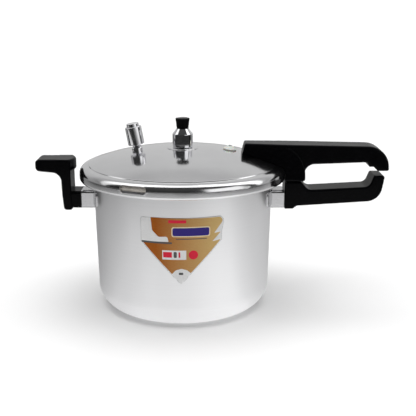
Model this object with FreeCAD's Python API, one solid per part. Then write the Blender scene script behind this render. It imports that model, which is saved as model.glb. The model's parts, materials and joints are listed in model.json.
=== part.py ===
import FreeCAD
import Part
import math
import os

# Stovetop pressure cooker, 7 litres, lid closed.
# Millimetres, +Z up. Origin: centre of the pot's flat base.
# +X runs out along the two long handles, -Y is the front.

V = FreeCAD.Vector
Z_AXIS = V(0, 0, 1)
ORIGIN = V(0, 0, 0)

# ---- pot ----
POT_WALL = 3.0
POT_BASE = 4.0
POT_CORNER_R = 30.0
POT_RADIUS_LOW = 110.3        # of the tapering wall, carried down to the floor
POT_RADIUS_TOP = 114.0        # of the wall, carried up to the edge flange
FLANGE_FILLET = 4.0
FLANGE_RADIUS = 121.3
FLANGE_LOW_Z = 171.2
LAND_Z = 175.0                # the face that the gasket sits on

# ---- bayonet ----
LUG_COUNT = 6
LUG_PITCH = 360.0 / LUG_COUNT
POT_LUG_ANGLE = 28.0
POT_LUG_RADIUS = 126.0
LID_LUG_ANGLE = 26.0
LID_LUG_RADIUS = 122.3
LID_LUG_LOW_Z = 166.9
LID_LUG_TOP_Z = 170.4

# ---- lid ----
LID_WALL = 2.4
CROWN_Z = 204.2               # top of the dome
CROWN_R = 450.0               # radius of the flatter middle
CROWN_EDGE = 66.0             # where the middle meets the steeper shoulder
SHOULDER_R = 254.0
DOME_EDGE = 114.5
CREASE_R = 119.2              # fine step between the dome and the rolled rim
RIM_RADIUS = 131.2
RIM_LOW_Z = 166.6
LIP_RADIUS = 127.4

# ---- gasket window in the rim ----
WINDOW_AZIMUTH = -114.5
WINDOW_LENGTH = 34.5
WINDOW_LOW_Z = 172.4
WINDOW_TOP_Z = 181.0
WINDOW_ROUND = 4.0

# ---- handle brackets on the pot ----
BRACKET_HALF_Y = 14.0
BRACKET_LOW_Z = 127.8
BRACKET_TOP_Z = 151.0
BRACKET_END_X = 129.5
BRACKET_SHEET = 2.5
BRACKET_BEND_R = 3.5
PAD_SHEET = 1.2
PAD_EDGE_ROUND = 0.8
PAD_ANGLE = 44.0              # how far the wall pad wraps round the pot
PAD_CORNER_R = 5.0
PAD_LOW_Z = 135.0
PAD_TOP_Z = 155.0
TONGUE_HALF_Y = 9.0
TONGUE_LOW_Z = 138.0
TONGUE_TOP_Z = 144.0

# ---- handles ----
GRIP_HALF_Y = 18.0
POT_GRIP_ROUND = 2.5
LID_GRIP_ROUND = 3.0
CHEEK_ROUND = 2.0
CHEEK_X = 133.0               # where the cheeks' own half width is given
CHEEK_TOP_Z = 207.0
CHEEK_TOP_HALF_Y = 18.6
CHEEK_SPREAD_X = 0.107
CHEEK_SPREAD_Z = 0.172
HELPER_ROUND = 3.0            # of the ledge's edges
HELPER_END_X = -187.0
HELPER_POST_X = -141.8        # of the post's inner face
HELPER_TOP_Z = 191.4
HELPER_BULGE_R = 35.5         # of the ledge's inner end, seen from above
HELPER_BULGE_X = -136.9
HELPER_BULGE_LOW_Z = 176.5
HELPER_NOSE_R = 8.0           # of the ledge's corners, seen from above
SCREW_R = 2.5
SCREW_HEAD_R = 4.4
SCREW_HEAD_H = 3.0
NUT_HALF = 4.0
NUT_H = 4.0
FIT_GAP = 0.25                # room around a piece in its pocket
POT_SCREW_X = 151.0
LID_SCREW_X = 172.0
LID_TONGUE_LOW_Z = 196.5
LID_TONGUE_TOP_Z = 199.5
LID_TONGUE_END_X = 182.0
LID_STRAP_HALF_Y = 8.0
RIVET_XS = (90.0, 104.0)
RIVET_R = 2.5
RIVET_HEAD_R = 4.4
RIVET_HEAD_H = 1.8

# ---- vent and weight, on the pot's axis ----
THREAD_R = 4.5
HOLE_R = 4.6
VENT_BORE_R = 1.3
VENT_TOP_Z = 219.5
WASHER_R = 20.0
WASHER_TOP_Z = 204.9
WEIGHT_R = 12.9
WEIGHT_LOW_Z = 205.4
WEIGHT_SHOULDER_Z = 222.0
WEIGHT_NECK_R = 7.6
WEIGHT_NECK_Z = 228.7
KNOB_TOP_R = 9.0
KNOB_TOP_Z = 242.4
PIN_R = 3.0

# ---- safety valve, on its own leaning axis ----
VALVE_X = -57.5
VALVE_LEAN = 10.0
BARREL_R = 10.3
BARREL_LOW = 7.8              # heights along the valve's axis, from the lid's surface
BARREL_TOP = 31.0
BARREL_BORE_R = 7.5
CAP_R = 7.7
CAP_TOP = 35.2
STEM_R = 2.4
STEM_TOP = 25.4
SPRING_TURNS = 5

# ---- safety plug ----
PLUG_X = 60.0
PLUG_Y = 6.0
PLUG_R = 8.5

# ---- front label ----
LABEL_THICK = 0.25
LABEL_TOP_Z = 141.0
LABEL_WIDE_Z = 111.0
LABEL_TIP_Z = 57.5


# ---------- shared helpers ----------

def wall_radius(z):
    """Outer radius of the pot's tapering wall at height z."""
    share = z / FLANGE_LOW_Z
    return POT_RADIUS_LOW + share * (POT_RADIUS_TOP - POT_RADIUS_LOW)


def dome_z(r):
    """Height of the dome's outer surface at radius r."""
    if r <= CROWN_EDGE:
        return CROWN_Z - r * r / (2.0 * CROWN_R)
    step = r - CROWN_EDGE
    edge_z = CROWN_Z - CROWN_EDGE ** 2 / (2.0 * CROWN_R)
    return edge_z - step * CROWN_EDGE / CROWN_R - step * step / (2.0 * SHOULDER_R)


def outline(corners, lift):
    """Closed wire through corners (a, b, radius), each corner rounded by a tangent arc.

    lift turns a flat point (a, b) into a vector.
    """
    edges = []
    starts = []
    ends = []
    count = len(corners)
    for i in range(count):
        ax, az, _ = corners[i - 1]
        bx, bz, radius = corners[i]
        cx, cz, _ = corners[(i + 1) % count]
        here = V(bx, bz, 0)
        back = V(ax, az, 0) - here
        ahead = V(cx, cz, 0) - here
        back.normalize()
        ahead.normalize()
        if radius <= 0:
            starts.append(here)
            ends.append(here)
            continue
        half = math.acos(max(-1.0, min(1.0, back.dot(ahead)))) / 2.0
        run = radius / math.tan(half)
        bisector = back + ahead
        bisector.normalize()
        middle = here + bisector * (radius / math.sin(half) - radius)
        start = here + back * run
        end = here + ahead * run
        starts.append(start)
        ends.append(end)
        arc = Part.Arc(lift(start.x, start.y), lift(middle.x, middle.y), lift(end.x, end.y))
        edges.append(arc.toShape())
    for i in range(count):
        a = ends[i - 1]
        b = starts[i]
        if (b - a).Length > 1e-6:
            edges.append(Part.LineSegment(lift(a.x, a.y), lift(b.x, b.y)).toShape())
    return Part.Wire(Part.__sortEdges__(edges))


def turned(corners):
    """Solid of revolution about the Z axis from corners (radius, z, round)."""
    wire = outline(corners, lambda a, b: V(a, 0, b))
    return Part.Face(wire).revolve(ORIGIN, Z_AXIS, 360)


def plate(corners, half_y):
    """Side outline of corners (x, z, round), as thick as 2 * half_y."""
    wire = outline(corners, lambda a, b: V(a, -half_y, b))
    return Part.Face(wire).extrude(V(0, 2 * half_y, 0))


def box(x0, x1, y0, y1, z0, z1):
    return Part.makeBox(x1 - x0, y1 - y0, z1 - z0, V(x0, y0, z0))


def post(radius, z0, z1, x=0.0, y=0.0):
    return Part.makeCylinder(radius, z1 - z0, V(x, y, z0))


def hexagon(across, z0, z1):
    """Hexagonal bar on the Z axis."""
    corner = across / math.sqrt(3.0)
    points = []
    for i in range(7):
        angle = math.radians(60.0 * i)
        points.append(V(corner * math.cos(angle), corner * math.sin(angle), z0))
    return Part.Face(Part.makePolygon(points)).extrude(V(0, 0, z1 - z0))


def ring_sector(inner, outer, z0, z1, middle, angle):
    """Part of a flat ring, centred on the azimuth middle."""
    start = V(math.cos(math.radians(middle - angle / 2)), math.sin(math.radians(middle - angle / 2)), 0)
    whole = Part.makeCylinder(outer, z1 - z0, V(0, 0, z0), Z_AXIS, angle)
    whole.rotate(ORIGIN, Z_AXIS, math.degrees(math.atan2(start.y, start.x)))
    return whole.cut(post(inner, z0 - 1, z1 + 1))


def side_edges(shape):
    """Outer edges of the faces that look mostly sideways, along +Y or -Y."""
    seen = {}
    for face in shape.Faces:
        low_u, high_u, low_v, high_v = face.ParameterRange
        normal = face.normalAt((low_u + high_u) / 2, (low_v + high_v) / 2)
        if abs(normal.y) < 0.8:
            continue
        for edge in face.Edges:
            seen.setdefault(edge.hashCode(), []).append(edge)
    return [edges[0] for edges in seen.values() if len(edges) == 1]


def on_dome(shape, x, y=0.0, lean=None):
    """Move a piece made upright at the origin onto the dome at (x, y).

    It stands square to the crown unless lean gives its own angle from upright.
    """
    r = math.hypot(x, y)
    angle = math.degrees(math.asin(r / CROWN_R)) if r <= CROWN_EDGE else slope_angle(r)
    if lean is not None:
        angle = lean
    moved = shape.copy()
    moved.rotate(ORIGIN, V(-y, x, 0), angle)
    moved.translate(V(x, y, dome_z(r)))
    return moved


def slope_angle(r):
    """Angle of the dome's shoulder from level, in degrees."""
    return math.degrees(math.atan(CROWN_EDGE / CROWN_R + (r - CROWN_EDGE) / SHOULDER_R))


# ---------- pot ----------

def pot_outer():
    """The pot as a filled shape, without its lugs."""
    return turned([
        (0, 0, 0),
        (POT_RADIUS_LOW, 0, POT_CORNER_R),
        (POT_RADIUS_TOP, FLANGE_LOW_Z, FLANGE_FILLET),
        (FLANGE_RADIUS, FLANGE_LOW_Z, 0.8),
        (FLANGE_RADIUS, LAND_Z, 0.8),
        (0, LAND_Z, 0),
    ])


def pot_cavity():
    inner_low = POT_RADIUS_LOW - POT_WALL
    inner_top = POT_RADIUS_TOP - POT_WALL
    return turned([
        (0, POT_BASE, 0),
        (inner_low, POT_BASE, POT_CORNER_R - POT_WALL),
        (inner_top, LAND_Z + 3.0, 0),
        (0, LAND_Z + 3.0, 0),
    ])


def pot_body():
    body = pot_outer()
    for i in range(LUG_COUNT):
        lug = ring_sector(FLANGE_RADIUS - 3.0, POT_LUG_RADIUS, FLANGE_LOW_Z, LAND_Z,
                          i * LUG_PITCH, POT_LUG_ANGLE)
        body = body.fuse(lug)
    return body.cut(pot_cavity()).removeSplitter()


def outward_area(face):
    """Area of a face if it is part of the pad's outer cylinder, otherwise nothing."""
    if not face.Surface.TypeId.endswith("Cylinder"):
        return 0
    if face.Surface.Radius < POT_RADIUS_TOP:
        return 0
    return face.Area


def wall_pad():
    """Curved strap welded to the wall, with rounded corners and edges, on the +X side."""
    half = POT_RADIUS_TOP * math.sin(math.radians(PAD_ANGLE / 2.0))
    strap = ring_sector(POT_RADIUS_LOW - 4.0, POT_RADIUS_TOP + PAD_SHEET,
                        PAD_LOW_Z, PAD_TOP_Z, 0, 120.0)
    wire = outline([
        (-half, PAD_LOW_Z, PAD_CORNER_R),
        (half, PAD_LOW_Z, PAD_CORNER_R),
        (half, PAD_TOP_Z, PAD_CORNER_R),
        (-half, PAD_TOP_Z, PAD_CORNER_R),
    ], lambda a, b: V(50, a, b))
    pad = strap.common(Part.Face(wire).extrude(V(100, 0, 0)))
    outer = max(pad.Faces, key=outward_area)
    return pad.makeFillet(PAD_EDGE_ROUND, outer.Edges)


def bracket_box():
    """Box section and wall pad that both pot brackets share, on the +X side."""
    length = BRACKET_END_X - 100
    section = box(100, BRACKET_END_X, -BRACKET_HALF_Y, BRACKET_HALF_Y, BRACKET_LOW_Z, BRACKET_TOP_Z)
    long_edges = [e for e in section.Edges if abs(e.BoundBox.XLength - length) < 1e-6]
    section = section.makeFillet(BRACKET_BEND_R, long_edges)
    hollow = box(90, BRACKET_END_X - BRACKET_SHEET,
                 BRACKET_SHEET - BRACKET_HALF_Y, BRACKET_HALF_Y - BRACKET_SHEET,
                 BRACKET_LOW_Z + BRACKET_SHEET, BRACKET_TOP_Z - BRACKET_SHEET)
    return wall_pad().fuse(section).cut(hollow).cut(pot_outer()).removeSplitter()


def pot_handle_bracket():
    tongue = box(BRACKET_END_X - 1, 162.0, -TONGUE_HALF_Y, TONGUE_HALF_Y, TONGUE_LOW_Z, TONGUE_TOP_Z)
    hole = post(SCREW_R, 120, 160, POT_SCREW_X)
    return bracket_box().fuse(tongue).cut(hole).removeSplitter()


def helper_screw_axis(radius, x0, x1):
    """Bar along X on the helper handle's screw axis."""
    z = (BRACKET_LOW_Z + BRACKET_TOP_Z) / 2.0
    return Part.makeCylinder(radius, x1 - x0, V(x0, 0, z), V(1, 0, 0))


def helper_handle_bracket():
    bracket = bracket_box()
    bracket.rotate(ORIGIN, Z_AXIS, 180)
    return bracket.cut(helper_screw_axis(SCREW_R, -140, -115))


# ---------- handles of the pot ----------

def pot_handle():
    """Bar from the collar at the bracket to a round end with an upturned horn."""
    body = plate([
        (129.6, 127.6, 1.5),
        (140.6, 127.6, 4.0),
        (145.6, 131.5, 4.0),
        (251.0, 138.2, 20.0),
        (256.4, 170.6, 2.5),
        (242.3, 170.6, 2.5),
        (236.8, 156.4, 9.0),
        (159.5, 152.3, 10.0),
        (150.8, 163.3, 3.0),
        (129.6, 163.3, 2.0),
    ], GRIP_HALF_Y)
    body = body.makeFillet(POT_GRIP_ROUND, side_edges(body))
    pocket = box(129.0, 162.0 + FIT_GAP, -TONGUE_HALF_Y - FIT_GAP, TONGUE_HALF_Y + FIT_GAP,
                 TONGUE_LOW_Z - FIT_GAP, TONGUE_TOP_Z + FIT_GAP)
    nut_room = box(POT_SCREW_X - NUT_HALF - FIT_GAP, POT_SCREW_X + NUT_HALF + FIT_GAP,
                   -NUT_HALF - FIT_GAP, NUT_HALF + FIT_GAP, TONGUE_TOP_Z, TONGUE_TOP_Z + NUT_H + 2)
    shaft = post(SCREW_R + FIT_GAP, 120, TONGUE_TOP_Z, POT_SCREW_X)
    head_room = post(SCREW_HEAD_R + FIT_GAP, 120, 133.4 + SCREW_HEAD_H, POT_SCREW_X)
    return body.cut(pocket).cut(nut_room).cut(shaft).cut(head_room).removeSplitter()


def upright_screw(x, head_z, top_z):
    """Screw whose head is below, with a driver slot across it."""
    head = post(SCREW_HEAD_R, head_z, head_z + SCREW_HEAD_H, x)
    slot = box(x - 6, x + 6, -0.6, 0.6, head_z - 1, head_z + 1.2)
    shank = post(SCREW_R, head_z + SCREW_HEAD_H - 0.5, top_z, x)
    return head.fuse(shank).cut(slot).removeSplitter()


def square_nut(x, z0):
    nut = box(x - NUT_HALF, x + NUT_HALF, -NUT_HALF, NUT_HALF, z0, z0 + NUT_H)
    return nut.cut(post(SCREW_R, z0 - 1, z0 + NUT_H + 1, x))


def pot_handle_screw():
    return upright_screw(POT_SCREW_X, 133.4, TONGUE_TOP_Z + NUT_H + 0.8)


def pot_handle_nut():
    return square_nut(POT_SCREW_X, TONGUE_TOP_Z)


def helper_grip():
    """Post and outward ledge, rounded all along both sides."""
    grip = plate([
        (HELPER_POST_X, 150.3, 0),
        (HELPER_POST_X, HELPER_TOP_Z, 3.0),
        (HELPER_END_X, HELPER_TOP_Z, 6.0),
        (-186.2, 176.6, 5.0),
        (-154.3, 173.6, 12.0),
        (-153.6, 146.0, 0),
        (-151.9, 125.9, 4.0),
        (-141.4, 125.9, 3.5),
        (-140.4, 131.0, 0),
    ], GRIP_HALF_Y)
    plan = box(HELPER_END_X, -100, -GRIP_HALF_Y, GRIP_HALF_Y, 100, 200)
    nose = [e for e in plan.Edges if e.BoundBox.ZLength > 50 and e.BoundBox.XMax < HELPER_END_X + 1]
    grip = grip.common(plan.makeFillet(HELPER_NOSE_R, nose))
    return grip.makeFillet(HELPER_ROUND, side_edges(grip))


def helper_bulge():
    """Round inner end of the ledge, standing a little proud of the post."""
    middle_x = HELPER_BULGE_X - HELPER_BULGE_R
    disc = post(HELPER_BULGE_R, HELPER_BULGE_LOW_Z, HELPER_TOP_Z, middle_x)
    disc = disc.makeFillet(HELPER_ROUND, [e for e in disc.Edges if e.Closed])
    slice_room = box(-160.0, -130.0, 1.2 - GRIP_HALF_Y, GRIP_HALF_Y - 1.2, 170.0, 200.0)
    return disc.common(slice_room)


def helper_handle():
    collar = box(-146.0, -129.6, -GRIP_HALF_Y + 1.5, GRIP_HALF_Y - 1.5, 128.4, 150.3)
    long_edges = [e for e in collar.Edges if e.BoundBox.XLength > 10]
    body = helper_grip().fuse(collar.makeFillet(BRACKET_BEND_R, long_edges)).fuse(helper_bulge())
    shaft = helper_screw_axis(SCREW_R + FIT_GAP, -160, -120)
    head_room = helper_screw_axis(SCREW_HEAD_R + FIT_GAP, -160, -147.5)
    return body.cut(shaft).cut(head_room).removeSplitter()


def helper_handle_screw():
    head = helper_screw_axis(SCREW_HEAD_R, -147.5 - SCREW_HEAD_H, -147.5)
    shank = helper_screw_axis(SCREW_R, -148.0, -118.0)
    z = (BRACKET_LOW_Z + BRACKET_TOP_Z) / 2.0
    slot = box(-152, -149.3, -6, 6, z - 0.6, z + 0.6)
    return head.fuse(shank).cut(slot).removeSplitter()


def front_label():
    """Thin kite-shaped sticker on the front of the wall, with no lettering."""
    low = LABEL_TIP_Z - 1
    high = LABEL_TOP_Z + 1
    skin = turned([
        (wall_radius(low), low, 0),
        (wall_radius(low) + LABEL_THICK, low, 0),
        (wall_radius(high) + LABEL_THICK, high, 0),
        (wall_radius(high), high, 0),
    ])
    shape = plate([
        (-41.0, LABEL_TOP_Z, 1.5),
        (49.5, LABEL_TOP_Z, 1.5),
        (46.0, LABEL_WIDE_Z, 1.5),
        (0.0, LABEL_TIP_Z, 1.5),
        (-46.0, LABEL_WIDE_Z, 1.5),
    ], 150.0)
    front = box(-60, 60, -150, -50, 0, 200)
    return skin.common(shape).common(front)


# ---------- lid ----------

def dome_edges(inset):
    """Crown and shoulder of the dome as two tangent arcs, lowered by inset."""
    def at(r):
        return V(r, 0, dome_z(r) - inset)
    crown = Part.Arc(at(0), at(CROWN_EDGE / 2), at(CROWN_EDGE))
    shoulder = Part.Arc(at(CROWN_EDGE), at((CROWN_EDGE + DOME_EDGE) / 2), at(DOME_EDGE))
    return [crown.toShape(), shoulder.toShape()]


def lid_filled(gap=0.0, floor_z=RIM_LOW_Z):
    """Everything under the lid's outer surface down to floor_z, grown by gap."""
    rim = turned([
        (DOME_EDGE - 6.0, floor_z, 0),
        (DOME_EDGE - 6.0, dome_z(DOME_EDGE - 6.0) + gap, 0),
        (DOME_EDGE, dome_z(DOME_EDGE) + gap, 0),
        (CREASE_R, 186.0 + gap, 0.5),
        (CREASE_R + 0.7, 185.0 + gap, 0.5),
        (RIM_RADIUS + gap, 182.2 + gap / 2, 9.0),
        (RIM_RADIUS + gap, floor_z, 3.2 if gap == 0 else 0),
    ])
    edges = dome_edges(-gap)
    top = edges[0].Vertexes[0].Point
    end = edges[1].Vertexes[1].Point
    sides = [
        Part.LineSegment(end, V(end.x, 0, floor_z)).toShape(),
        Part.LineSegment(V(end.x, 0, floor_z), V(0, 0, floor_z)).toShape(),
        Part.LineSegment(V(0, 0, floor_z), top).toShape(),
    ]
    face = Part.Face(Part.Wire(Part.__sortEdges__(edges + sides)))
    return rim.fuse(face.revolve(ORIGIN, Z_AXIS, 360)).removeSplitter()


def lid_hollow():
    """Space inside the lid: under the dome and inside the rim channel."""
    w = LID_WALL
    channel = turned([
        (DOME_EDGE - 6.0, 160.0, 0),
        (DOME_EDGE - 6.0, dome_z(DOME_EDGE - 6.0) - w, 0),
        (DOME_EDGE + 0.6, dome_z(DOME_EDGE) - w - 0.3, 0),
        (CREASE_R, 183.4, 0.5),
        (CREASE_R + 0.7, 182.6, 0.5),
        (RIM_RADIUS - w, 180.4, 6.6),
        (RIM_RADIUS - w, RIM_LOW_Z + w, 1.6),
        (LIP_RADIUS, RIM_LOW_Z + w, 0.8),
        (LIP_RADIUS, 160.0, 0),
    ])
    edges = dome_edges(w)
    top = edges[0].Vertexes[0].Point
    end = edges[1].Vertexes[1].Point
    sides = [
        Part.LineSegment(end, V(end.x, 0, 160.0)).toShape(),
        Part.LineSegment(V(end.x, 0, 160.0), V(0, 0, 160.0)).toShape(),
        Part.LineSegment(V(0, 0, 160.0), top).toShape(),
    ]
    face = Part.Face(Part.Wire(Part.__sortEdges__(edges + sides)))
    return channel.fuse(face.revolve(ORIGIN, Z_AXIS, 360)).removeSplitter()


def gasket_window():
    """Slot with round corners, through the rim along its own azimuth."""
    half_l = WINDOW_LENGTH / 2.0
    wire = outline([
        (-half_l, WINDOW_LOW_Z, WINDOW_ROUND),
        (half_l, WINDOW_LOW_Z, WINDOW_ROUND),
        (half_l, WINDOW_TOP_Z, WINDOW_ROUND),
        (-half_l, WINDOW_TOP_Z, WINDOW_ROUND),
    ], lambda a, b: V(124.0, a, b))
    slot = Part.Face(wire).extrude(V(20, 0, 0))
    slot.rotate(ORIGIN, Z_AXIS, WINDOW_AZIMUTH)
    return slot


def lid_shell():
    shell = lid_filled().cut(lid_hollow())
    for i in range(LUG_COUNT):
        lug = ring_sector(LID_LUG_RADIUS, RIM_RADIUS - 2.0, LID_LUG_LOW_Z, LID_LUG_TOP_Z,
                          i * LUG_PITCH, LID_LUG_ANGLE)
        shell = shell.fuse(lug)
    shell = shell.cut(gasket_window())
    shell = shell.cut(post(HOLE_R, 180, 220))
    shell = shell.cut(on_dome(post(HOLE_R, -15, 15), VALVE_X, 0, VALVE_LEAN))
    shell = shell.cut(on_dome(post(6.0, -15, 15), PLUG_X, PLUG_Y))
    for x in RIVET_XS:
        shell = shell.cut(on_dome(post(RIVET_R, -15, 15), x))
    return shell.removeSplitter()


def sealing_gasket():
    """Ring with an outer web and two inward lips."""
    low_z = LAND_Z + 0.3
    return turned([
        (126.8, 173.4, 0.3),
        (128.2, 174.4, 0.5),
        (128.2, 176.8, 1.2),
        (124.6, 180.8, 0.8),
        (117.0, 181.4, 0.5),
        (117.0, 179.6, 0.5),
        (123.4, 179.4, 0.4),
        (124.8, 178.1, 0.4),
        (124.8, 177.4, 0.3),
        (115.5, 177.4, 0.5),
        (115.5, low_z, 0.5),
        (126.8, low_z, 0.2),
    ])


# ---------- lid handle ----------

def lid_handle_rivets():
    rivets = []
    for x in RIVET_XS:
        shank = post(RIVET_R, -LID_WALL - 0.5, 4.0)
        low = post(RIVET_HEAD_R, -LID_WALL - RIVET_HEAD_H, -LID_WALL - 0.05)
        high = post(RIVET_HEAD_R, 3.0, 3.0 + RIVET_HEAD_H)
        rivet = shank.fuse(low).fuse(high).removeSplitter()
        rivets.append(on_dome(rivet, x))
    return rivets


def lid_handle_bracket():
    """Steel strap: a foot on the dome, a riser, and a tongue inside the grip."""
    strap = plate([
        (83.0, 185.0, 0),
        (83.0, dome_z(83.0) + 2.6, 1.0),
        (109.0, dome_z(109.0) + 2.6, 2.0),
        (114.0, LID_TONGUE_TOP_Z, 2.0),
        (LID_TONGUE_END_X, LID_TONGUE_TOP_Z, 0),
        (LID_TONGUE_END_X, LID_TONGUE_LOW_Z, 0),
        (116.0, LID_TONGUE_LOW_Z, 1.0),
        (112.5, 185.0, 0),
    ], LID_STRAP_HALF_Y)
    strap = strap.cut(lid_filled(0.05, 150.0))
    strap = strap.cut(post(SCREW_R, 190, 205, LID_SCREW_X))
    for rivet in lid_handle_rivets():
        strap = strap.cut(rivet)
    return strap


def lid_grip():
    """Bar of the lid handle with its hooked tip, narrowing towards the dome's middle."""
    bar = plate([
        (70.8, 180.0, 0),
        (78.6, 211.4, 2.5),
        (258.4, 207.8, 27.0),
        (261.2, 176.8, 2.5),
        (246.8, 176.8, 1.0),
        (241.8, 182.0, 1.5),
        (236.0, 182.2, 1.5),
        (232.6, 187.9, 2.0),
        (154.8, 185.1, 13.0),
        (154.0, 165.6, 3.0),
        (120.0, 165.6, 0),
    ], GRIP_HALF_Y)
    plan = Part.makePolygon([
        V(60, -12.4, 150), V(133, -GRIP_HALF_Y, 150), V(270, -GRIP_HALF_Y, 150),
        V(270, GRIP_HALF_Y, 150), V(133, GRIP_HALF_Y, 150), V(60, 12.4, 150),
        V(60, -12.4, 150),
    ])
    bar = bar.common(Part.Face(plan).extrude(V(0, 0, 80)))
    return bar.makeFillet(LID_GRIP_ROUND, side_edges(bar))


def cheek_half_y(x, z):
    """Half width of the cheeks, wider outwards and downwards."""
    return CHEEK_TOP_HALF_Y + CHEEK_SPREAD_X * (x - CHEEK_X) - CHEEK_SPREAD_Z * (z - CHEEK_TOP_Z)


def cheek_slice(x):
    """Cross-section of the cheeks' wedge at x."""
    corners = []
    for side, z in ((-1, 213.0), (-1, 160.0), (1, 160.0), (1, 213.0), (-1, 213.0)):
        corners.append(V(x, side * cheek_half_y(x, z), z))
    return Part.makePolygon(corners)


def cheek_bevel(side):
    """Prism that cuts the cheek's lower edge back, above the dome."""
    starts = []
    for x, z in ((68.0, 205.7), (112.6, 184.7)):
        starts.append(V(x, side * cheek_half_y(x, z), z))
    top = starts[0]
    inward = top + V(-4.0, -3.4 * side, -8.5)
    outward = top + V(-4.0, 12.0 * side, -8.5)
    face = Part.Face(Part.makePolygon([top, inward, outward, top]))
    return face.extrude(starts[1] - starts[0])


def lid_cheeks():
    """Wider part that spreads down onto the dome and over the rim."""
    block = plate([
        (70.6, 180.0, 0),
        (78.4, 210.6, 2.0),
        (154.2, 208.0, 34.5),
        (154.3, 165.6, 3.0),
        (120.0, 165.6, 0),
    ], 40.0)
    wedge = Part.makeLoft([cheek_slice(60.0), cheek_slice(170.0)], True, True)
    cheeks = block.common(wedge)
    cheeks = cheeks.makeFillet(CHEEK_ROUND, side_edges(cheeks))
    return cheeks.cut(cheek_bevel(-1)).cut(cheek_bevel(1))


def lid_handle():
    body = lid_grip().fuse(lid_cheeks())
    body = body.cut(lid_filled(0.3, 120.0))
    strap_room = plate([
        (82.5, 180.0, 0),
        (82.5, 204.5, 0),
        (104.0, 203.0, 0),
        (112.0, LID_TONGUE_TOP_Z + FIT_GAP, 0),
        (LID_TONGUE_END_X + FIT_GAP, LID_TONGUE_TOP_Z + FIT_GAP, 0),
        (LID_TONGUE_END_X + FIT_GAP, LID_TONGUE_LOW_Z - FIT_GAP, 0),
        (117.5, LID_TONGUE_LOW_Z - FIT_GAP, 0),
        (114.0, 180.0, 0),
    ], LID_STRAP_HALF_Y + FIT_GAP)
    nut_room = box(LID_SCREW_X - NUT_HALF - FIT_GAP, LID_SCREW_X + NUT_HALF + FIT_GAP,
                   -NUT_HALF - FIT_GAP, NUT_HALF + FIT_GAP,
                   LID_TONGUE_TOP_Z, LID_TONGUE_TOP_Z + NUT_H + 2)
    shaft = post(SCREW_R + FIT_GAP, 180, LID_TONGUE_TOP_Z, LID_SCREW_X)
    head_room = post(SCREW_HEAD_R + FIT_GAP, 180, 188.2 + SCREW_HEAD_H, LID_SCREW_X)
    return body.cut(strap_room).cut(nut_room).cut(shaft).cut(head_room).removeSplitter()


def lid_handle_screw():
    return upright_screw(LID_SCREW_X, 188.2, LID_TONGUE_TOP_Z + NUT_H + 0.8)


def lid_handle_nut():
    return square_nut(LID_SCREW_X, LID_TONGUE_TOP_Z)


# ---------- vent and weight ----------

def under_lid_ring(outer, inner, thick):
    """Washer against the inside of the lid, on the upright axis at the origin."""
    return post(outer, -LID_WALL - thick, -LID_WALL).cut(post(inner, -20, 20))


def vent_pipe():
    lower = post(THREAD_R, CROWN_Z - 12.5, WASHER_TOP_Z + 0.2)
    flange = hexagon(12.0, WASHER_TOP_Z, WASHER_TOP_Z + 3.2)
    upper = turned([
        (0, WASHER_TOP_Z, 0),
        (3.4, WASHER_TOP_Z, 0),
        (3.4, VENT_TOP_Z - 1.5, 0.5),
        (2.2, VENT_TOP_Z, 0),
        (0, VENT_TOP_Z, 0),
    ])
    pipe = lower.fuse(flange).fuse(upper)
    return pipe.cut(post(VENT_BORE_R, 180, 230)).removeSplitter()


def vent_washer():
    disc = turned([
        (0, 200.0, 0),
        (WASHER_R, 200.0, 0),
        (WASHER_R, WASHER_TOP_Z - 0.3, 0.8),
        (WASHER_R - 3.0, WASHER_TOP_Z, 4.0),
        (0, WASHER_TOP_Z, 0),
    ])
    return disc.cut(post(THREAD_R, 190, 210)).cut(lid_filled())


def vent_seal():
    seal = under_lid_ring(9.0, THREAD_R, 2.0)
    seal.translate(V(0, 0, CROWN_Z - 0.1))
    return seal


def hex_nut(across, height, top):
    """Nut below the lid, upright on the origin's axis, its upper face at top."""
    return hexagon(across, top - height, top).cut(post(THREAD_R, -40, 40))


def vent_nut():
    nut = hex_nut(15.0, 5.0, -LID_WALL - 2.0)
    nut.translate(V(0, 0, CROWN_Z - 0.1))
    return nut


def weight_body():
    body = turned([
        (0, WEIGHT_LOW_Z, 0),
        (WEIGHT_R, WEIGHT_LOW_Z, 0.8),
        (WEIGHT_R, WEIGHT_SHOULDER_Z, 1.2),
        (WEIGHT_NECK_R, WEIGHT_NECK_Z, 0),
        (0, WEIGHT_NECK_Z, 0),
    ])
    body = body.cut(post(8.4, WEIGHT_LOW_Z - 1, WASHER_TOP_Z + 3.9))
    body = body.cut(post(3.9, WEIGHT_LOW_Z, 221.2))
    return body.cut(post(PIN_R, 220.0, 230.0))


def weight_needle():
    return turned([
        (0, VENT_TOP_Z + 0.3, 0),
        (1.6, VENT_TOP_Z + 0.3, 0),
        (PIN_R, VENT_TOP_Z + 1.7, 0),
        (PIN_R, 236.0, 0.5),
        (0, 236.0, 0),
    ])


def weight_knob():
    knob = turned([
        (0, WEIGHT_NECK_Z, 0),
        (7.4, WEIGHT_NECK_Z, 0.4),
        (KNOB_TOP_R, KNOB_TOP_Z - 0.6, 0.8),
        (4.0, KNOB_TOP_Z, 6.0),
        (0, KNOB_TOP_Z, 0),
    ])
    return knob.cut(post(PIN_R, 220.0, 236.0))


# ---------- safety valve ----------

def on_valve_axis(shape):
    return on_dome(shape, VALVE_X, 0, VALVE_LEAN)


def valve_foot():
    foot = turned([
        (0, -2.0, 0),
        (6.4, -2.0, 0),
        (7.4, 2.8, 2.4),
        (4.8, 6.6, 1.8),
        (0, 6.6, 0),
    ])
    shank = post(THREAD_R, -13.0, 1.0)
    whole = on_valve_axis(foot).cut(lid_filled(0.02, 150.0)).fuse(on_valve_axis(shank))
    bore = on_valve_axis(post(STEM_R, -20, 20))
    return whole.cut(bore).removeSplitter()


def valve_stem():
    stem = post(STEM_R, -13.0, STEM_TOP).cut(post(0.9, -20, 40))
    return on_valve_axis(stem)


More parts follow.
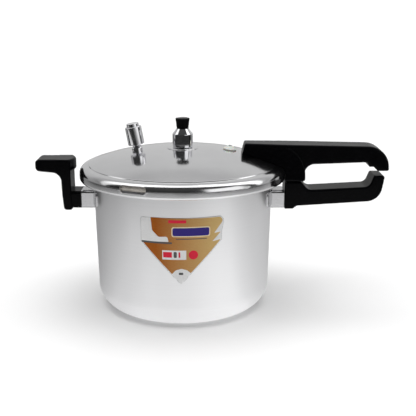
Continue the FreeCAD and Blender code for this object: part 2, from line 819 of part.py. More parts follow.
def valve_retainer():
    return on_valve_axis(hexagon(10.5, STEM_TOP - 2.6, STEM_TOP - 0.4).cut(post(STEM_R, 0, 30)))


def valve_spring():
    """Five turns of round wire between the barrel's floor and the retainer."""
    wire_r = 0.55
    coil_r = 4.4
    low = BARREL_LOW + 2.0 + wire_r + 0.15
    high = STEM_TOP - 2.6 - wire_r - 0.15
    path = Part.makeHelix((high - low) / SPRING_TURNS, high - low, coil_r)
    path.translate(V(0, 0, low))
    section = Part.Wire(Part.makeCircle(wire_r, V(coil_r, 0, low), V(0, 1, 0)))
    coil = Part.Wire(path.Edges).makePipeShell([section], True, True)
    return on_valve_axis(coil)


def valve_seal():
    seal = under_lid_ring(9.0, THREAD_R, 2.4)
    return on_valve_axis(seal).cut(lid_filled().cut(lid_hollow()))


def valve_nut():
    return on_valve_axis(hex_nut(14.0, 5.0, -LID_WALL - 2.4))


def valve_barrel():
    barrel = turned([
        (0, BARREL_LOW, 0),
        (BARREL_R, BARREL_LOW, 1.2),
        (BARREL_R, BARREL_TOP, 1.2),
        (0, BARREL_TOP, 0),
    ])
    barrel = barrel.cut(post(BARREL_BORE_R, BARREL_LOW + 2.0, 40))
    return on_valve_axis(barrel.cut(post(STEM_R + 0.3, 0, 20)))


def valve_cap():
    cap = turned([
        (0, BARREL_TOP, 0),
        (CAP_R, BARREL_TOP, 0),
        (CAP_R, CAP_TOP, 0.9),
        (0, CAP_TOP, 0),
    ])
    plug = post(BARREL_BORE_R, BARREL_TOP - 3.0, BARREL_TOP + 0.5)
    return on_valve_axis(cap.fuse(plug).removeSplitter())


def valve_needle():
    return on_valve_axis(post(1.6, STEM_TOP + 0.25, BARREL_TOP - 3.0))


# ---------- safety plug ----------

def safety_plug():
    plug = turned([
        (0, -5.0, 0),
        (7.6, -5.0, 0.6),
        (7.6, -LID_WALL - 0.15, 0.4),
        (5.9, -LID_WALL - 0.15, 0),
        (5.9, 0.15, 0),
        (PLUG_R, 0.15, 0),
        (PLUG_R, 1.4, 0.5),
        (4.4, 5.0, 1.5),
        (0, 5.0, 0),
    ])
    return on_dome(plug.cut(post(2.3, -10, 10)), PLUG_X, PLUG_Y)


def safety_plug_core():
    core = turned([
        (0, -5.6, 0),
        (2.3, -5.6, 0.4),
        (2.3, 6.0, 1.0),
        (0, 6.0, 0),
    ])
    return on_dome(core, PLUG_X, PLUG_Y)


NODES = {
    "pot_body": pot_body,
    "pot_handle_bracket": pot_handle_bracket,
    "helper_handle_bracket": helper_handle_bracket,
    "pot_handle": pot_handle,
    "pot_handle_screw": pot_handle_screw,
    "pot_handle_nut": pot_handle_nut,
    "helper_handle": helper_handle,
    "helper_handle_screw": helper_handle_screw,
    "front_label": front_label,
    "lid_shell": lid_shell,
    "sealing_gasket": sealing_gasket,
    "lid_handle": lid_handle,
    "lid_handle_bracket": lid_handle_bracket,
    "lid_handle_rivets": lambda: Part.makeCompound(lid_handle_rivets()),
    "lid_handle_screw": lid_handle_screw,
    "lid_handle_nut": lid_handle_nut,
    "vent_pipe": vent_pipe,
    "vent_washer": vent_washer,
    "vent_seal": vent_seal,
    "vent_nut": vent_nut,
    "weight_body": weight_body,
    "weight_needle": weight_needle,
    "weight_knob": weight_knob,
    "valve_foot": valve_foot,
    "valve_stem": valve_stem,
    "valve_retainer": valve_retainer,
    "valve_spring": valve_spring,
    "valve_seal": valve_seal,
    "valve_nut": valve_nut,
    "valve_barrel": valve_barrel,
    "valve_cap": valve_cap,
    "valve_needle": valve_needle,
    "safety_plug": safety_plug,
    "safety_plug_core": safety_plug_core,
}

os.makedirs("parts", exist_ok=True)
for name, make in NODES.items():
    shape = make()
    shape.exportStep("parts/" + name + ".step")
    print(name, shape.isValid(), len(shape.Solids), round(shape.Volume, 1))
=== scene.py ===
import json
import math

import bmesh
import bpy
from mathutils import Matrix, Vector

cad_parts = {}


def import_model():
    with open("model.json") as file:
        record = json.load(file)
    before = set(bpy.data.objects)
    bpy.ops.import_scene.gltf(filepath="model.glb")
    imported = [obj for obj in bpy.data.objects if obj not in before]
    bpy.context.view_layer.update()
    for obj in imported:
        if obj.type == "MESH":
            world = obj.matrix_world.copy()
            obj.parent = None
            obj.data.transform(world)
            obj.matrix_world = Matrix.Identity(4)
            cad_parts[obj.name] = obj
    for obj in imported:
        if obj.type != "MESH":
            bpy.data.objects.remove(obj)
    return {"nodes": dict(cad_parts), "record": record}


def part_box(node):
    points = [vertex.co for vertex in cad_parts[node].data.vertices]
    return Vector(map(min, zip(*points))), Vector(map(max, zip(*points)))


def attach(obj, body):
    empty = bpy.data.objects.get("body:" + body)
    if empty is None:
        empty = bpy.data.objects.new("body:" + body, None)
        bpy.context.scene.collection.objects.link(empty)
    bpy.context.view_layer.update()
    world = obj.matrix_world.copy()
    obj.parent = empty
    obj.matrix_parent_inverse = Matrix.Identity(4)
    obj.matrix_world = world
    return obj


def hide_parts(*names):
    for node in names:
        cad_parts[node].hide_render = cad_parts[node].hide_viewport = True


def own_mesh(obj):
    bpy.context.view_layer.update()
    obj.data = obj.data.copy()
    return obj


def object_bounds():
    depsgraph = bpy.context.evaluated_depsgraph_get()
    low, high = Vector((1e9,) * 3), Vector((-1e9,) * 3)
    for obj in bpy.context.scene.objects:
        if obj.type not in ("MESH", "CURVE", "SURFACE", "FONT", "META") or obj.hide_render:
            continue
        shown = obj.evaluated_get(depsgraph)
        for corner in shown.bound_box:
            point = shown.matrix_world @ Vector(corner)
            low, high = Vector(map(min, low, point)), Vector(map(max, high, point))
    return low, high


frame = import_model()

CAD_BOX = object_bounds()

# Stovetop pressure cooker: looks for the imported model, in metres unless a line says otherwise.

MM = 0.001

# ---- view, from the frame's own box ----
BOX_LOW = Vector(CAD_BOX[0])
BOX_HIGH = Vector(CAD_BOX[1])
BOX_MIDDLE = (BOX_LOW + BOX_HIGH) / 2
VIEW_SHIFT_X = -4.95 * MM
VIEW_SHIFT_Z = 3.1 * MM
VIEW_TARGET = Vector((BOX_MIDDLE.x + VIEW_SHIFT_X, 0, BOX_MIDDLE.z + VIEW_SHIFT_Z))
VIEW_DISTANCE = 1.040
VIEW_PITCH = math.radians(14.77)
LENS_MM = 69.23
SENSOR_MM = 36.0
VIEW_END = 1000

# ---- stage ----
FLOOR_HALF = 250.0
WORLD_GREY = (0.10, 0.10, 0.10, 1)
SUN_ANGLE = math.radians(75)
SUN_RISE = math.radians(80)
SUN_TURN = math.radians(80)
SUN_POWER = 1.74
SHELL_RADIUS = 6.0
SHELL_SPLITS = 4
TABLE_RADIUS = 0.815
TABLE_FADE = 0.025
TABLE_RIM_SHARE = 0.1
TABLE_DROP = 0.5 * MM
TABLE_SIDES = 64
RAMP_TOP = 2.0
HORIZON = (-0.10, 0.04)
# (degrees round from the front, + to the right; grey)
# table glow: painted reflection of the lit floor, with painted shade towards the left and the back
TABLE_GLOW_TONES = [(-180, 0.34), (-126, 0.35), (-106, 0.45), (-89, 0.57), (-61, 0.77), (-27, 0.92),
               (0, 0.94), (41, 1.02), (55, 1.00), (66, 0.83), (94, 0.68), (134, 0.56), (180, 0.34)]
ROOM_TONES = [(-180, 0.30), (-130, 0.20), (-100, 0.03), (85, 0.03), (110, 0.28), (180, 0.30)]
# (degrees up from the back, over the roof, to the front; grey)
SKY_TONES = [(0, 0.60), (35, 0.60), (48, 0.47), (60, 0.52), (67, 1.70), (92, 1.70), (99, 0.06),
             (180, 0.03)]
# (from the left, -1, to the right, 1; share of the tone above)
SIDE_TONES = [(-1, 0.45), (-0.5, 0.9), (0, 1.0), (0.5, 1.0), (1, 0.75)]
# the panel at the front right: degrees round, then degrees up
PANEL_ROUND = [(-180, 0), (22, 0), (32, 1.1), (66, 1.1), (80, 0), (180, 0)]
PANEL_UP = [(-90, 0), (-4, 0), (4, 1), (34, 1), (46, 0), (90, 0)]

# ---- sticker, from the frame's own label; mm round the wall and mm above its tip ----
LABEL_LOW, LABEL_HIGH = (Vector(corner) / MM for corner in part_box("front_label"))
WALL_SLOPE = 0.0255
LABEL_LIFT = 0.25
LABEL_WALL_R = -LABEL_LOW.y - LABEL_LIFT
SHEET = 0.06
SLICE_ROUND = 4.0
SLICE_UP = 8.0
LABEL_INKS = ("white", "field", "navy", "red", "grey", "cream")

# ---- spring inside the safety valve ----
WIRE_R = 0.55 * MM
COIL_TURNS = 5
STEPS_A_TURN = 28
WIRE_SIDES = 10


# ---------- node helpers ----------

class Finish:
    """A Principled material with short ways to add procedural detail."""

    def __init__(self, name, color, metallic, roughness):
        self.material = bpy.data.materials.new(name)
        self.material.use_nodes = True
        self.tree = self.material.node_tree
        self.shader = self.tree.nodes["Principled BSDF"]
        self.shader.inputs["Base Color"].default_value = (*color, 1)
        self.shader.inputs["Metallic"].default_value = metallic
        self.shader.inputs["Roughness"].default_value = roughness
        self.bumps = None

    def set(self, **values):
        for socket, value in values.items():
            self.shader.inputs[socket.replace("_", " ")].default_value = value
        return self

    def node(self, kind, **settings):
        made = self.tree.nodes.new(kind)
        for key, value in settings.items():
            setattr(made, key, value)
        return made

    def link(self, a, b):
        self.tree.links.new(a, b)

    def math(self, operation, a, b=None):
        made = self.node("ShaderNodeMath", operation=operation)
        for i, value in enumerate((a, b)):
            if value is None:
                continue
            if isinstance(value, (int, float)):
                made.inputs[i].default_value = value
            else:
                self.link(value, made.inputs[i])
        return made.outputs[0]

    def place(self):
        """Object coordinates, in metres."""
        return self.node("ShaderNodeTexCoord").outputs["Object"]

    def stretched(self, x, y, z):
        """Position scaled along each axis."""
        made = self.node("ShaderNodeMapping")
        made.inputs["Scale"].default_value = (x, y, z)
        self.link(self.place(), made.inputs["Vector"])
        return made.outputs["Vector"]

    def flat_length(self, x, y):
        """Distance from the upright axis."""
        squares = self.math("ADD", self.math("MULTIPLY", x, x), self.math("MULTIPLY", y, y))
        return self.math("SQRT", squares)

    def turned_lines(self, slow, fine):
        """Coordinates that change fast across lathe lines and slowly along them."""
        parts = self.node("ShaderNodeSeparateXYZ")
        self.link(self.place(), parts.inputs[0])
        x, y, z = parts.outputs
        across = self.math("MULTIPLY", self.math("ADD", self.flat_length(x, y), z), fine)
        joined = self.node("ShaderNodeCombineXYZ")
        self.link(self.math("MULTIPLY", x, slow), joined.inputs[0])
        self.link(self.math("MULTIPLY", y, slow), joined.inputs[1])
        self.link(across, joined.inputs[2])
        return joined.outputs[0]

    def noise(self, vector, scale, detail=4.0, rough=0.55):
        made = self.node("ShaderNodeTexNoise")
        made.inputs["Scale"].default_value = scale
        made.inputs["Detail"].default_value = detail
        made.inputs["Roughness"].default_value = rough
        self.link(vector, made.inputs["Vector"])
        return made.outputs["Fac"]

    def spread(self, value, low, high, start=0.3, end=0.7):
        """Value from start..end mapped to low..high."""
        made = self.node("ShaderNodeMapRange")
        for name, number in (("From Min", start), ("From Max", end), ("To Min", low), ("To Max", high)):
            made.inputs[name].default_value = number
        self.link(value, made.inputs["Value"])
        return made.outputs[0]

    def mix(self, share, a, b):
        """Colour a..b by share."""
        made = self.node("ShaderNodeMix", data_type="RGBA")
        self.link(share, made.inputs["Factor"])
        for name, value in (("A", a), ("B", b)):
            socket = [s for s in made.inputs if s.name == name and s.type == "RGBA"][0]
            if isinstance(value, tuple):
                socket.default_value = (*value, 1)
            else:
                self.link(value, socket)
        return [s for s in made.outputs if s.type == "RGBA"][0]

    def tint(self, share, a, b):
        self.link(self.mix(share, a, b), self.shader.inputs["Base Color"])
        return self

    def vary_roughness(self, value, low, high):
        self.link(self.spread(value, low, high), self.shader.inputs["Roughness"])
        return self

    def bump(self, height, distance, strength=1.0):
        """Adds a height in metres to what the surface already has."""
        made = self.node("ShaderNodeBump")
        made.inputs["Distance"].default_value = distance
        made.inputs["Strength"].default_value = strength
        self.link(height, made.inputs["Height"])
        if self.bumps is not None:
            self.link(self.bumps, made.inputs["Normal"])
        self.bumps = made.outputs["Normal"]
        self.link(self.bumps, self.shader.inputs["Normal"])
        return self


# ---------- finishes ----------

def satin_aluminium():
    """Drawn aluminium, finely turned round the pot."""
    f = Finish("satin_aluminium", (0.86, 0.86, 0.87), 1.0, 0.36)
    lines = f.noise(f.turned_lines(2.0, 3200.0), 1.0, 2.0)
    cloud = f.noise(f.stretched(40, 40, 12), 1.0, 3.0)
    f.tint(f.spread(lines, 0, 1), (0.85, 0.85, 0.86), (0.88, 0.88, 0.89))
    f.vary_roughness(cloud, 0.33, 0.38)
    f.bump(lines, 0.003 * MM, 0.5)
    return f.material


def polished_aluminium():
    """Buffed lid: a soft mirror with faint turning lines and handling haze."""
    f = Finish("polished_aluminium", (0.80, 0.80, 0.81), 1.0, 0.12)
    lines = f.noise(f.turned_lines(2.0, 2200.0), 1.0, 3.0)
    haze = f.noise(f.stretched(22, 22, 22), 1.0, 4.0)
    waves = f.noise(f.stretched(34, 34, 34), 1.0, 1.0)
    f.tint(f.spread(haze, 0, 1), (0.77, 0.77, 0.78), (0.83, 0.83, 0.84))
    f.vary_roughness(haze, 0.10, 0.16)
    f.bump(waves, 0.03 * MM, 0.5)
    f.bump(lines, 0.003 * MM, 0.5)
    return f.material


def bakelite():
    """Black phenolic moulding: soft gloss, slight flow ripple, faint dust."""
    f = Finish("bakelite", (0.002, 0.002, 0.0024), 0.0, 0.20)
    ripple = f.noise(f.stretched(60, 60, 60), 1.0, 2.0)
    dust = f.noise(f.stretched(200, 500, 500), 1.0, 5.0, 0.7)
    f.tint(f.spread(dust, 0, 1, 0.5, 0.8), (0.0016, 0.0016, 0.002), (0.005, 0.005, 0.006))
    f.vary_roughness(ripple, 0.17, 0.24)
    f.bump(ripple, 0.02 * MM, 0.4)
    f.set(IOR=1.13)
    return f.material


def chrome():
    """Bright plating with hair scratches."""
    f = Finish("chrome", (0.82, 0.82, 0.84), 1.0, 0.06)
    scratches = f.noise(f.turned_lines(20.0, 1800.0), 1.0, 4.0, 0.7)
    smudge = f.noise(f.stretched(90, 90, 90), 1.0, 3.0)
    f.tint(f.spread(smudge, 0, 1), (0.78, 0.78, 0.80), (0.86, 0.86, 0.88))
    f.vary_roughness(smudge, 0.04, 0.10)
    f.bump(scratches, 0.003 * MM, 0.5)
    return f.material


def zinc_steel():
    """Plain plated steel of the fasteners and the inner steel parts."""
    f = Finish("zinc_steel", (0.60, 0.61, 0.63), 1.0, 0.35)
    bloom = f.noise(f.stretched(260, 260, 260), 1.0, 4.0)
    f.tint(f.spread(bloom, 0, 1), (0.52, 0.53, 0.55), (0.68, 0.69, 0.70))
    f.vary_roughness(bloom, 0.25, 0.45)
    f.bump(bloom, 0.01 * MM, 0.5)
    return f.material


def bracket_aluminium():
    """Brighter pressed aluminium of the two pot brackets."""
    f = Finish("bracket_aluminium", (0.55, 0.55, 0.56), 1.0, 0.16)
    lines = f.noise(f.stretched(60, 900, 900), 1.0, 3.0)
    f.tint(f.spread(lines, 0, 1), (0.50, 0.50, 0.51), (0.58, 0.58, 0.59))
    f.vary_roughness(lines, 0.12, 0.20)
    f.bump(lines, 0.004 * MM, 0.5)
    return f.material


def rivet_aluminium():
    """Soft rivet heads with hammer marks."""
    f = Finish("rivet_aluminium", (0.72, 0.72, 0.73), 1.0, 0.35)
    dents = f.noise(f.stretched(500, 500, 500), 1.0, 3.0)
    f.tint(f.spread(dents, 0, 1), (0.66, 0.66, 0.67), (0.78, 0.78, 0.79))
    f.vary_roughness(dents, 0.28, 0.45)
    f.bump(dents, 0.02 * MM, 0.5)
    return f.material


def gasket_rubber():
    """Beige-grey rubber with a powdery bloom."""
    f = Finish("gasket_rubber", (0.46, 0.43, 0.39), 0.0, 0.6)
    bloom = f.noise(f.stretched(180, 180, 180), 1.0, 5.0)
    f.tint(f.spread(bloom, 0, 1), (0.40, 0.375, 0.34), (0.52, 0.49, 0.45))
    f.vary_roughness(bloom, 0.5, 0.75)
    f.bump(bloom, 0.03 * MM, 0.6)
    return f.material


def black_rubber():
    """Dull black rubber of the two seals under the lid."""
    f = Finish("black_rubber", (0.02, 0.02, 0.02), 0.0, 0.7)
    bloom = f.noise(f.stretched(400, 400, 400), 1.0, 5.0)
    f.tint(f.spread(bloom, 0, 1), (0.016, 0.016, 0.016), (0.04, 0.04, 0.04))
    f.vary_roughness(bloom, 0.6, 0.8)
    f.bump(bloom, 0.02 * MM, 0.6)
    return f.material


def plug_silicone():
    """Off-white, slightly translucent safety plug."""
    f = Finish("plug_silicone", (0.66, 0.64, 0.60), 0.0, 0.42)
    cloud = f.noise(f.stretched(240, 240, 240), 1.0, 4.0)
    f.tint(f.spread(cloud, 0, 1), (0.60, 0.58, 0.54), (0.72, 0.70, 0.66))
    f.vary_roughness(cloud, 0.36, 0.5)
    f.bump(cloud, 0.02 * MM, 0.5)
    f.set(Subsurface_Weight=0.2)
    return f.material


def fusible_alloy():
    """Dull grey cast core of the plug."""
    f = Finish("fusible_alloy", (0.35, 0.34, 0.33), 1.0, 0.5)
    dents = f.noise(f.stretched(700, 700, 700), 1.0, 4.0)
    f.tint(f.spread(dents, 0, 1), (0.28, 0.27, 0.26), (0.42, 0.41, 0.40))
    f.vary_roughness(dents, 0.4, 0.6)
    f.bump(dents, 0.03 * MM, 0.6)
    return f.material


def label_field():
    """Printed foil, brown on the left to pale gold on the right."""
    f = Finish("label_field", (0.45, 0.24, 0.06), 0.0, 0.38)
    x = f.node("ShaderNodeSeparateXYZ")
    f.link(f.place(), x.inputs[0])
    grain = f.noise(f.stretched(300, 300, 1800), 1.0, 3.0)
    across = f.math("ADD", f.spread(x.outputs[0], 0, 1, -0.030, 0.046), f.spread(grain, -0.05, 0.05))
    f.tint(across, (0.34, 0.085, 0.002), (0.62, 0.43, 0.17))
    f.vary_roughness(grain, 0.32, 0.44)
    f.set(Specular_IOR_Level=0.15)
    return f.material


def printed(name, color):
    """Plain ink or paper of the sticker, with a slight unevenness."""
    f = Finish(name, color, 0.0, 0.42)
    grain = f.noise(f.stretched(900, 900, 900), 1.0, 3.0)
    f.tint(f.spread(grain, 0, 1), tuple(0.92 * c for c in color), color)
    f.vary_roughness(grain, 0.36, 0.48)
    f.set(Specular_IOR_Level=0.15)
    return f.material


MAKERS = (satin_aluminium, polished_aluminium, bakelite, chrome, zinc_steel, bracket_aluminium,
          rivet_aluminium, gasket_rubber, black_rubber, plug_silicone, fusible_alloy, label_field)
INKS = {
    "white": (0.80, 0.80, 0.80),
    "navy": (0.035, 0.022, 0.21),
    "red": (0.72, 0.02, 0.05),
    "grey": (0.10, 0.10, 0.10),
    "cream": (0.86, 0.72, 0.48),
}
# nodes whose finish isn't named after their slot
OWN_FINISH = {"pot_handle_bracket": "bracket_aluminium", "helper_handle_bracket": "bracket_aluminium"}


def all_finishes():
    """Every finish, by its name."""
    made = {maker.__name__: maker() for maker in MAKERS}
    for ink, color in INKS.items():
        name = "label_" + ink
        made[name] = printed(name, color)
    return made


def dress_cad(finishes):
    """Gives every CAD node the finish of its record slot."""
    slots = {row["node"]: row["material_slot"] for row in frame["record"]["subparts"]}
    for name, node in frame["nodes"].items():
        finish = finishes.get(OWN_FINISH.get(name, slots[name]))
        if finish is None:
            continue
        node.data.materials.clear()
        node.data.materials.append(finish)


# ---------- sticker ----------

def rounded(corners, steps=5):
    """Outline with each corner (across, up, radius) turned into a short arc."""
    rim = []
    count = len(corners)
    for i, (a, b, radius) in enumerate(corners):
        here = Vector((a, b))
        if radius == 0:
            rim.append(here)
            continue
        before = Vector(corners[i - 1][:2]) - here
        after = Vector(corners[(i + 1) % count][:2]) - here
        half = before.angle(after) / 2
        run = radius / math.tan(half)
        start = here + before.normalized() * run
        end = here + after.normalized() * run
        for k in range(steps + 1):
            t = k / steps
            rim.append(start * (1 - t) ** 2 + here * 2 * t * (1 - t) + end * t ** 2)
    return rim


def bar_rim(left, low, right, high, radius):
    corners = ((left, low), (right, low), (right, high), (left, high))
    return rounded([(*corner, radius) for corner in corners])


def disc_rim(across, up, radius, steps=28):
    turns = [2 * math.pi * k / steps for k in range(steps)]
    return [Vector((across + radius * math.cos(t), up + radius * math.sin(t))) for t in turns]


def on_wall(across, up, lift):
    """Point of the pot's wall, mm round it and mm above the sticker's tip, in metres."""
    top = LABEL_HIGH.z - LABEL_LOW.z
    radius = LABEL_WALL_R + WALL_SLOPE * (up - top) + lift
    turn = across / LABEL_WALL_R
    return Vector((radius * math.sin(turn), -radius * math.cos(turn), LABEL_LOW.z + up)) * MM


def sheet_on_wall(whole, rim, layer, ink):
    """Adds a closed thin sheet with that outline, curved round the wall, to the mesh whole."""
    flat = bmesh.new()
    face = flat.faces.new([flat.verts.new((p.x, p.y, 0)) for p in rim])
    bmesh.ops.triangulate(flat, faces=[face])
    for axis, step in ((0, SLICE_ROUND), (1, SLICE_UP)):
        way = Vector((1 - axis, axis, 0))
        first = math.ceil(min(p[axis] for p in rim) / step)
        last = math.floor(max(p[axis] for p in rim) / step)
        for k in range(first, last + 1):
            parts = flat.verts[:] + flat.edges[:] + flat.faces[:]
            bmesh.ops.bisect_plane(flat, geom=parts, plane_co=way * k * step, plane_no=way)
    bmesh.ops.solidify(flat, geom=flat.faces[:], thickness=1.0)
    low = LABEL_LIFT + SHEET * (layer - 1)
    made = {}
    for v in flat.verts:
        lift = low if abs(v.co.z) > 0.5 else low + SHEET
        made[v] = whole.verts.new(on_wall(v.co.x, v.co.y, lift))
    for face in flat.faces:
        copy = whole.faces.new([made[v] for v in face.verts])
        copy.material_index = ink
    flat.free()


def label_shapes():
    """The sticker's printed shapes as (outline, layer, ink); blank bars where words would be."""
    white, field, navy, red, grey, cream = range(len(LABEL_INKS))
    cut_edge = rounded([(-48.6, 53.4, 1), (-48.0, 83.2, 3), (48.6, 84.2, 4.5), (52.9, 79.5, 4.5),
                        (50.2, 64.5, 0.6), (50.2, 55.0, 0.6), (12.4, 14.8, 1), (0.4, 1.4, 0.8),
                        (-10.8, 13.4, 1)])
    white_face = rounded([(-48.3, 53.6, 1), (-47.7, 83.0, 2.8), (48.5, 84.0, 4.4), (52.7, 79.4, 4.4),
                          (50.0, 64.6, 0.6), (50.0, 55.0, 0.6), (12.3, 15.0, 1), (0.4, 1.7, 0.8),
                          (-10.7, 13.6, 1)])
    brown = rounded([(-47.0, 53.4, 0.5), (-14.0, 54.6, 0.5), (-15.5, 61.0, 3), (-26.0, 60.2, 4),
                     (-33.8, 68.0, 4), (-35.2, 83.6, 0.6), (48.0, 83.0, 4), (51.9, 78.6, 4),
                     (40.4, 63.8, 0.4), (48.8, 64.6, 0.4), (38.0, 53.6, 0.4), (49.0, 55.4, 0.4),
                     (12.0, 15.8, 0.4), (7.6, 19.6, 3), (1.0, 21.4, 3), (-6.0, 19.4, 3),
                     (-10.4, 14.6, 0.4)])
    return [
        (cut_edge, 0, grey),
        (white_face, 1, white),
        (brown, 2, field),
        (bar_rim(-47.6, 52.0, -10.0, 54.2, 0.9), 3, grey),
        (bar_rim(-14.0, 77.4, 7.0, 81.2, 1.2), 3, red),
        (bar_rim(-10.4, 60.6, 35.4, 72.8, 3.0), 3, cream),
        (bar_rim(-9.2, 61.8, 34.2, 71.6, 2.4), 4, navy),
        (bar_rim(-5.4, 57.6, 31.4, 58.6, 0.4), 3, grey),
        (bar_rim(-21.8, 32.6, 6.8, 44.0, 0.6), 3, white),
        (bar_rim(-20.8, 35.2, -10.2, 42.0, 0.4), 4, red),
        (bar_rim(-8.2, 35.0, -4.4, 42.4, 1.6), 4, grey),
        (bar_rim(-2.4, 35.2, -0.4, 42.0, 0.4), 4, red),
        (disc_rim(15.2, 38.4, 5.6), 3, red),
        (bar_rim(-2.2, 13.6, 3.0, 16.4, 0.8), 2, grey),
    ]


def sticker(finishes):
    """Layered sticker round the front of the wall, without lettering."""
    whole = bmesh.new()
    for rim, layer, ink in label_shapes():
        sheet_on_wall(whole, rim, layer, ink)
    bmesh.ops.recalc_face_normals(whole, faces=whole.faces[:])
    mesh = bpy.data.meshes.new("front_sticker")
    whole.to_mesh(mesh)
    whole.free()
    for ink in LABEL_INKS:
        mesh.materials.append(finishes["label_" + ink])
    piece = bpy.data.objects.new("front_sticker", mesh)
    bpy.context.scene.collection.objects.link(piece)
    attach(piece, "pot")
    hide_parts("front_label")


# ---------- spring of the safety valve ----------

def valve_coil(finishes):
    """Round wire coil along the valve's lift axis."""
    low, high = (Vector(corner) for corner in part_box("valve_spring"))
    joints = frame["record"]["behaviour"]["joints"]
    lift = next(joint for joint in joints if joint["name"] == "safety_valve_lift")
    lean = Vector(lift["axis"]).normalized()
    side = Vector((0, 1, 0))
    out = side.cross(lean)
    outer = (high.y - low.y) / 2
    length = (high.z - low.z - 2 * outer * abs(lean.x)) / lean.z
    rise = length - 2 * WIRE_R
    start = (low + high) / 2 - lean * rise / 2
    coil = bmesh.new()
    rings = []
    steps = COIL_TURNS * STEPS_A_TURN
    for i in range(steps + 1):
        turn = 2 * math.pi * i / STEPS_A_TURN
        spoke = out * math.cos(turn) + side * math.sin(turn)
        middle = start + lean * rise * i / steps + spoke * (outer - WIRE_R)
        ring = []
        for k in range(WIRE_SIDES):
            t = 2 * math.pi * k / WIRE_SIDES
            ring.append(coil.verts.new(middle + (spoke * math.cos(t) + lean * math.sin(t)) * WIRE_R))
        rings.append(ring)
    for a, b in zip(rings, rings[1:]):
        for k in range(WIRE_SIDES):
            n = (k + 1) % WIRE_SIDES
            coil.faces.new((a[k], a[n], b[n], b[k])).smooth = True
    coil.faces.new(rings[0])
    coil.faces.new(rings[-1])
    bmesh.ops.recalc_face_normals(coil, faces=coil.faces[:])
    mesh = bpy.data.meshes.new("valve_coil")
    coil.to_mesh(mesh)
    coil.free()
    mesh.materials.append(finishes["zinc_steel"])
    piece = bpy.data.objects.new("valve_coil", mesh)
    bpy.context.scene.collection.objects.link(piece)
    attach(piece, "lid")
    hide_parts("valve_spring")
    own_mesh(piece)


# ---------- stage, light and camera ----------

def floor():
    """Wide plain white floor, left out of mirror rays."""
    mesh = bpy.data.meshes.new("floor")
    h = FLOOR_HALF
    mesh.from_pydata([(-h, -h, 0), (h, -h, 0), (h, h, 0), (-h, h, 0)], [], [(0, 1, 2, 3)])
    plane = bpy.data.objects.new("floor", mesh)
    bpy.context.scene.collection.objects.link(plane)
    f = Finish("floor_white", (0.90, 0.90, 0.90), 0.0, 0.6)
    f.set(Specular_IOR_Level=0.0)
    mesh.materials.append(f.material)
    plane.visible_glossy = False


def ramp(f, value, low, high, stops):
    """Smooth grey curve: stops are (value, grey), grey up to RAMP_TOP."""
    made = f.node("ShaderNodeValToRGB")
    made.color_ramp.interpolation = "EASE"
    spots = made.color_ramp.elements
    while len(spots) < len(stops):
        spots.new(0.5)
    for spot, (at, grey) in zip(spots, stops):
        spot.position = (at - low) / (high - low)
        spot.color = (grey / RAMP_TOP, grey / RAMP_TOP, grey / RAMP_TOP, 1)
    f.link(f.spread(value, 0, 1, low, high), made.inputs["Fac"])
    return f.math("MULTIPLY", made.outputs["Color"], RAMP_TOP)


def glow_only(name, shape, make_tone):
    """Stage object with its own light, that only mirror rays see."""
    mesh = bpy.data.meshes.new(name)
    shape.to_mesh(mesh)
    shape.free()
    made = bpy.data.objects.new(name, mesh)
    bpy.context.scene.collection.objects.link(made)
    f = Finish(name, (0, 0, 0), 0.0, 1.0)
    parts = f.node("ShaderNodeSeparateXYZ")
    f.link(f.place(), parts.inputs[0])
    glow = f.node("ShaderNodeEmission")
    f.link(make_tone(f, *parts.outputs), glow.inputs["Color"])
    f.link(glow.outputs[0], f.tree.nodes["Material Output"].inputs["Surface"])
    mesh.materials.append(f.material)
    for ray in ("camera", "diffuse", "shadow", "transmission"):
        setattr(made, "visible_" + ray, False)


def in_degrees(f, angle):
    """Radians turned into degrees."""
    return f.math("MULTIPLY", angle, 180 / math.pi)


def round_degrees(f, x, y):
    """Degrees round from the front, + to the right."""
    return in_degrees(f, f.math("ARCTAN2", x, f.math("MULTIPLY", y, -1.0)))


def room_tone(f, x, y, z):
    """Grey back, bright roof, dark room behind the camera, bright panel at the front right."""
    around = round_degrees(f, x, y)
    low_part = ramp(f, around, -180, 180, ROOM_TONES)
    over = in_degrees(f, f.math("ARCTAN2", z, y))
    side = ramp(f, f.math("DIVIDE", x, SHELL_RADIUS), -1, 1, SIDE_TONES)
    high_part = f.math("MULTIPLY", ramp(f, over, 0, 180, SKY_TONES), side)
    share = f.spread(f.math("DIVIDE", z, SHELL_RADIUS), 0, 1, *HORIZON)
    both = f.math("ADD", f.math("MULTIPLY", high_part, share),
                  f.math("MULTIPLY", low_part, f.math("SUBTRACT", 1.0, share)))
    rise = in_degrees(f, f.math("ARCTAN2", z, f.flat_length(x, y)))
    panel = f.math("MULTIPLY", ramp(f, around, -180, 180, PANEL_ROUND), ramp(f, rise, -90, 90, PANEL_UP))
    return f.math("MAXIMUM", both, panel)


def table_glow_tone(f, x, y, z):
    """Glow of the table top that only mirror rays see: a painted reflection of the white floor, with
    painted shade dimmer towards the left and the back, dark at its rim.
    """
    tone = ramp(f, round_degrees(f, x, y), -180, 180, TABLE_GLOW_TONES)
    fade = f.spread(f.flat_length(x, y), 1, TABLE_RIM_SHARE, TABLE_RADIUS - TABLE_FADE, TABLE_RADIUS)
    return f.math("MULTIPLY", tone, fade)


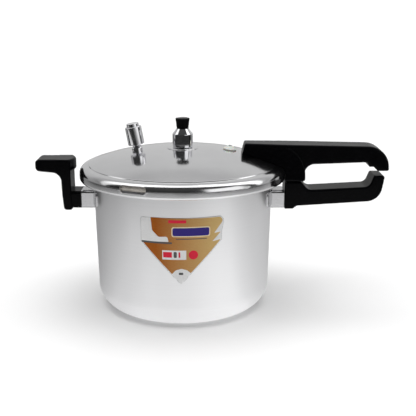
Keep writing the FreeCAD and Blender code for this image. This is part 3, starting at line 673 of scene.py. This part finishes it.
def studio():
    """What the metal mirrors: a glowing tent round the object and a glowing table top under it, a
    painted reflection of the floor.
    """
    room = bmesh.new()
    bmesh.ops.create_icosphere(room, subdivisions=SHELL_SPLITS, radius=SHELL_RADIUS)
    glow_only("studio_room", room, room_tone)
    table = bmesh.new()
    bmesh.ops.create_circle(table, cap_ends=True, segments=TABLE_SIDES, radius=TABLE_RADIUS)
    bmesh.ops.translate(table, verts=table.verts[:], vec=(0, 0, -TABLE_DROP))
    glow_only("studio_table_glow", table, table_glow_tone)


def sun(name, turn):
    """Very soft high sun, turned that angle round from the front."""
    light = bpy.data.lights.new(name, "SUN")
    light.angle = SUN_ANGLE
    light.energy = SUN_POWER
    lamp = bpy.data.objects.new(name, light)
    flat = math.cos(SUN_RISE)
    way = Vector((flat * math.sin(turn), -flat * math.cos(turn), math.sin(SUN_RISE)))
    lamp.rotation_euler = way.to_track_quat("Z", "Y").to_euler()
    lamp.visible_glossy = False
    bpy.context.scene.collection.objects.link(lamp)


def lights():
    sun("sun_left", -SUN_TURN)
    sun("sun_right", SUN_TURN)


def world():
    """Faint light from all round; plain white where the camera looks past the floor."""
    made = bpy.data.worlds.new("studio")
    bpy.context.scene.world = made
    made.use_nodes = True
    tree = made.node_tree
    faint = tree.nodes["Background"]
    faint.inputs["Color"].default_value = WORLD_GREY
    white = tree.nodes.new("ShaderNodeBackground")
    white.inputs["Color"].default_value = (1, 1, 1, 1)
    either = tree.nodes.new("ShaderNodeMixShader")
    tree.links.new(tree.nodes.new("ShaderNodeLightPath").outputs["Is Camera Ray"], either.inputs[0])
    tree.links.new(faint.outputs[0], either.inputs[1])
    tree.links.new(white.outputs[0], either.inputs[2])
    tree.links.new(either.outputs[0], tree.nodes["World Output"].inputs["Surface"])


def camera():
    back = Vector((0, -math.cos(VIEW_PITCH), math.sin(VIEW_PITCH)))
    lens = bpy.data.cameras.new("camera")
    lens.lens = LENS_MM
    lens.sensor_width = SENSOR_MM
    lens.clip_end = VIEW_END
    eye = bpy.data.objects.new("camera", lens)
    eye.location = VIEW_TARGET + back * VIEW_DISTANCE
    eye.rotation_euler = (math.pi / 2 - VIEW_PITCH, 0, 0)
    bpy.context.scene.collection.objects.link(eye)
    bpy.context.scene.camera = eye


bpy.context.scene.view_settings.view_transform = "Standard"
camera()
floor()
studio()
lights()
world()
FINISHES = all_finishes()
dress_cad(FINISHES)
sticker(FINISHES)
valve_coil(FINISHES)
